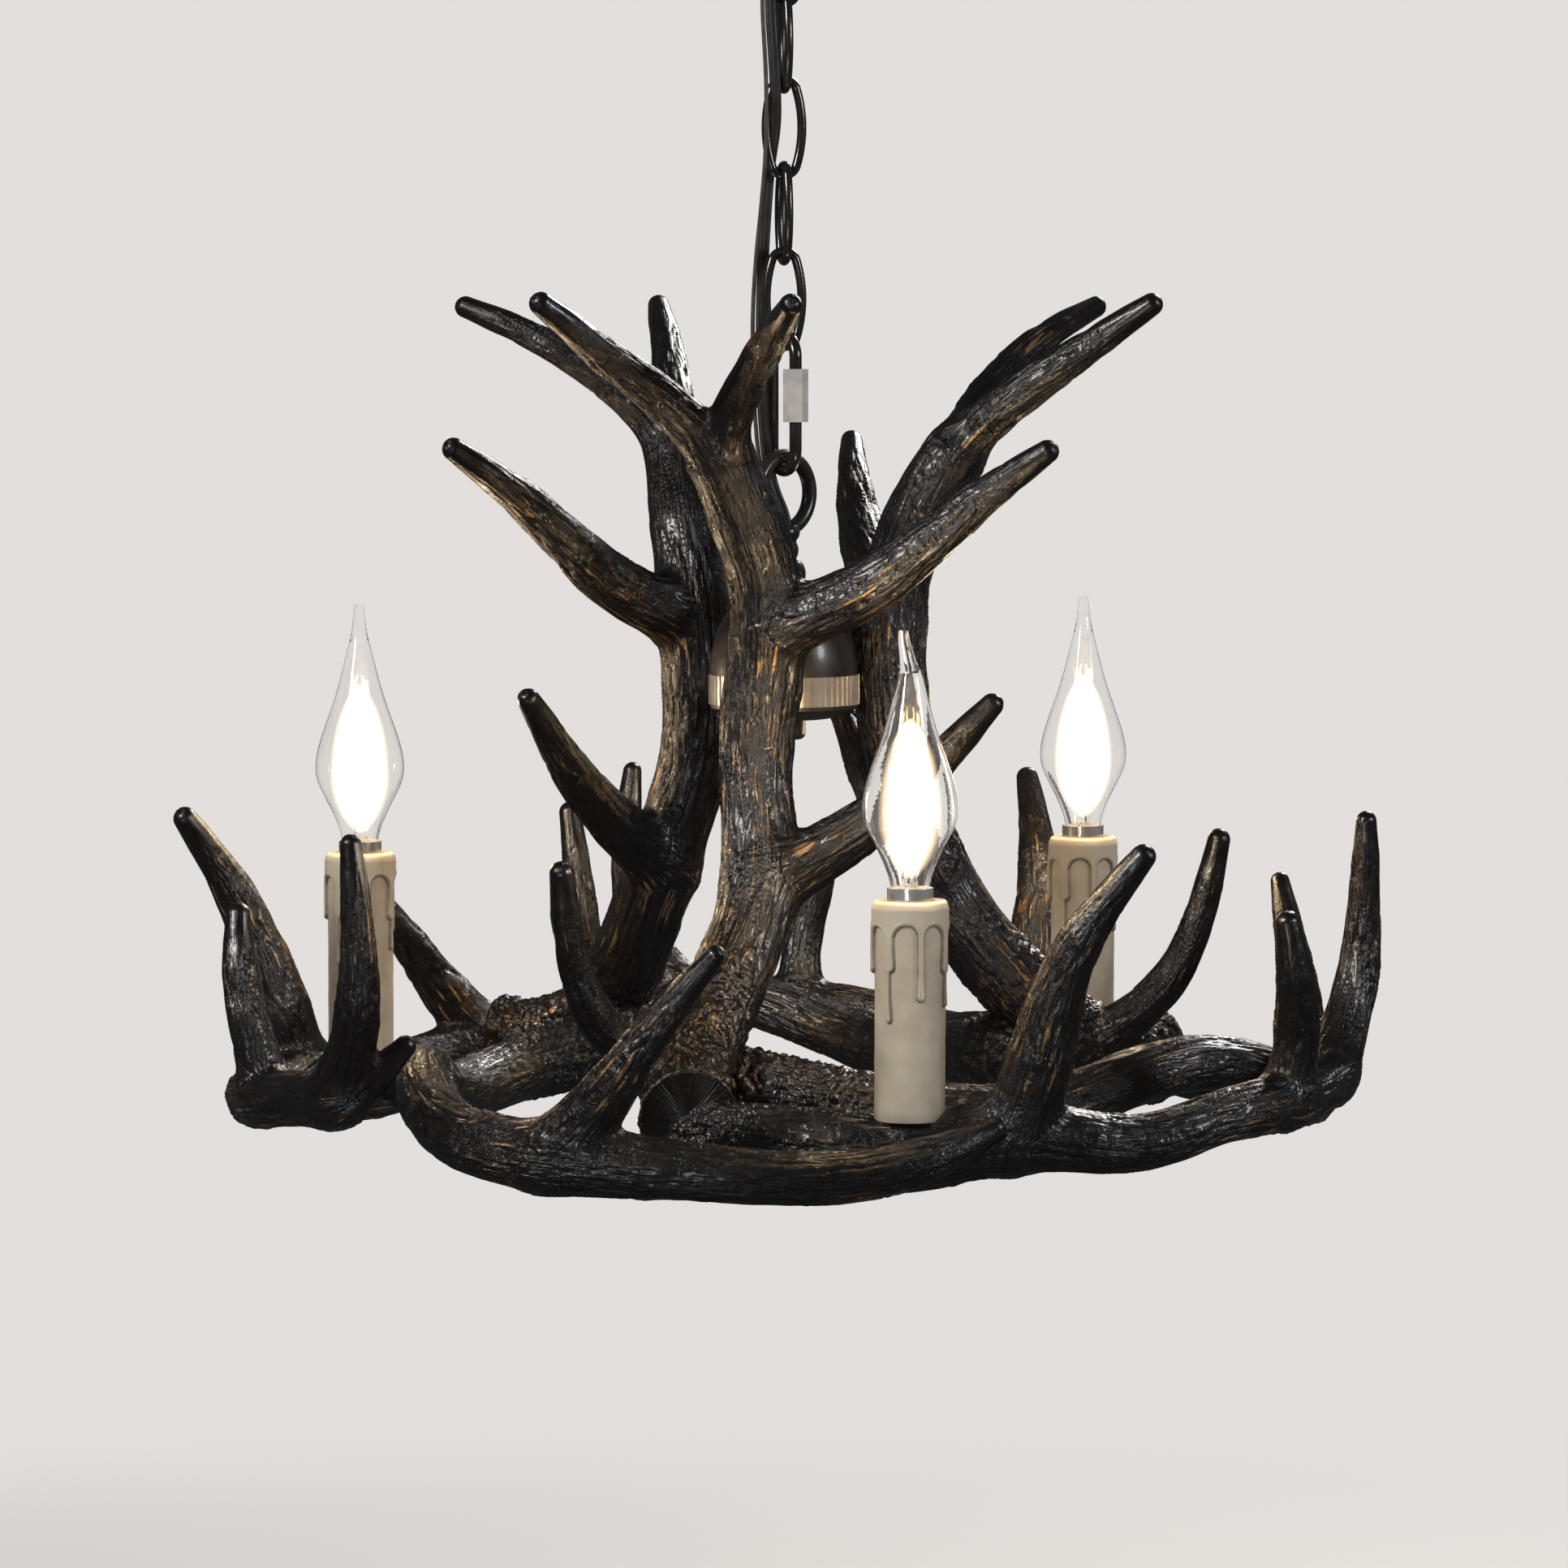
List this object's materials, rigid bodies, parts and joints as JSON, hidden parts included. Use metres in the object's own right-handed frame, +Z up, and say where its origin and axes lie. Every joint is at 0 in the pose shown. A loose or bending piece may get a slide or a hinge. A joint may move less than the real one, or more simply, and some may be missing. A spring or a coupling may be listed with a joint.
{
  "type": "antler chandelier",
  "caption": "Hanging chandelier of cast antlers in a ring round a central hub, with candle lamps, on a chain from a ceiling canopy.",
  "frame": {"origin": "centre of the ceiling mount, in the ceiling's plane", "axes": "+Z up, -Y towards the front of the picture, +X to its right"},
  "size_m": [0.4677, 0.4584, 0.5302],
  "materials": {
    "antler": "cast resin, near black with rubbed bronze ridges",
    "black_gloss": "black gloss paint",
    "black_metal": "black satin paint",
    "brass_screw": "plain",
    "bright_nut": "bright zinc",
    "bronze_band": "rubbed dark bronze",
    "bulb_glass": "clear",
    "bulb_metal": "nickel",
    "candle_wax": "ivory wax-drip paint",
    "cord_black": "black flexible sheath",
    "dark_dome": "dark satin paint",
    "earth_sheath": "dark sheath",
    "filament": "lit filament",
    "holder": "moulded",
    "steel": "zinc plated",
    "wire_nut": "moulded"
  },
  "bodies": {
    "ceiling": {"ceiling_bracket": "steel", "canopy_tube": "steel", "canopy_nut": "steel", "earth_screw": "brass_screw", "canopy_loop": "black_metal", "supply_cord": "cord_black", "earth_wire": "earth_sheath"},
    "canopy": {"canopy_dome": "black_metal", "collar_ring": "black_metal"},
    "link_1": {"chain_link_1": "black_gloss"},
    "link_2": {"chain_link_2": "black_gloss"},
    "link_3": {"chain_link_3": "black_gloss"},
    "link_4": {"chain_link_4": "black_gloss"},
    "link_5": {"chain_link_5": "black_gloss"},
    "quick_link": {"quick_link_body": "black_gloss"},
    "quick_sleeve": {"quick_link_sleeve": "bright_nut"},
    "chandelier": {"hub_eye": "black_metal", "hub_tube": "steel", "hub_dome": "dark_dome", "hub_band": "bronze_band", "hub_dish": "dark_dome", "hub_cap_nut": "black_metal", "hub_web_nut": "steel", "hub_screws": "steel", "wire_nuts": "wire_nut", "antler_pins": "steel", "candle_tubes": "steel", "candle_nuts": "steel", "upright_antler_1": "antler", "ring_antler_1": "antler", "outer_antler_1": "antler", "candle_sleeve_1": "candle_wax", "lampholder_1": "holder", "upright_antler_2": "antler", "ring_antler_2": "antler", "outer_antler_2": "antler", "candle_sleeve_2": "candle_wax", "lampholder_2": "holder", "upright_antler_3": "antler", "ring_antler_3": "antler", "outer_antler_3": "antler", "candle_sleeve_3": "candle_wax", "lampholder_3": "holder"},
    "bulb_1": {"bulb_cap_1": "bulb_metal", "bulb_glass_1": "bulb_glass", "bulb_filaments_1": "filament"},
    "bulb_2": {"bulb_cap_2": "bulb_metal", "bulb_glass_2": "bulb_glass", "bulb_filaments_2": "filament"},
    "bulb_3": {"bulb_cap_3": "bulb_metal", "bulb_glass_3": "bulb_glass", "bulb_filaments_3": "filament"}
  },
  "joints": [
    {"name": "canopy_slide", "type": "slide", "parent": "ceiling", "child": "canopy", "axis": [0, 0, -1], "range_m": [0, 0.015]},
    {"name": "link_1_swing", "type": "hinge", "parent": "ceiling", "child": "link_1", "pos_m": [0, 0, -0.05475], "axis": [-0.2588, 0.9659, 0], "range_deg": [-12, 12]},
    {"name": "link_2_swing", "type": "hinge", "parent": "link_1", "child": "link_2", "pos_m": [0, 0, -0.08735], "axis": [0.9659, 0.2588, 0], "range_deg": [-12, 12], "deforming": ["supply_cord", "earth_wire"]},
    {"name": "link_3_swing", "type": "hinge", "parent": "link_2", "child": "link_3", "pos_m": [0, 0, -0.12065], "axis": [-0.2588, 0.9659, 0], "range_deg": [-12, 12]},
    {"name": "link_4_swing", "type": "hinge", "parent": "link_3", "child": "link_4", "pos_m": [0, 0, -0.15395], "axis": [0.9659, 0.2588, 0], "range_deg": [-12, 12]},
    {"name": "link_5_swing", "type": "hinge", "parent": "link_4", "child": "link_5", "pos_m": [0, 0, -0.18725], "axis": [-0.2588, 0.9659, 0], "range_deg": [-12, 12]},
    {"name": "quick_link_swing", "type": "hinge", "parent": "link_5", "child": "quick_link", "pos_m": [0, 0, -0.22055], "axis": [0.9659, 0.2588, 0], "range_deg": [-12, 12]},
    {"name": "quick_sleeve_slide", "type": "slide", "parent": "quick_link", "child": "quick_sleeve", "axis": [0, 0, -1], "range_m": [0, 0.0095]},
    {"name": "chandelier_swing", "type": "hinge", "parent": "quick_link", "child": "chandelier", "pos_m": [0, 0, -0.26885], "axis": [0.5299, -0.848, 0], "range_deg": [-12, 12]},
    {"name": "bulb_1_lift", "type": "slide", "parent": "chandelier", "child": "bulb_1", "axis": [0, 0, 1], "range_m": [0, 0.03]},
    {"name": "bulb_2_lift", "type": "slide", "parent": "chandelier", "child": "bulb_2", "axis": [0, 0, 1], "range_m": [0, 0.03]},
    {"name": "bulb_3_lift", "type": "slide", "parent": "chandelier", "child": "bulb_3", "axis": [0, 0, 1], "range_m": [0, 0.03]}
  ]
}
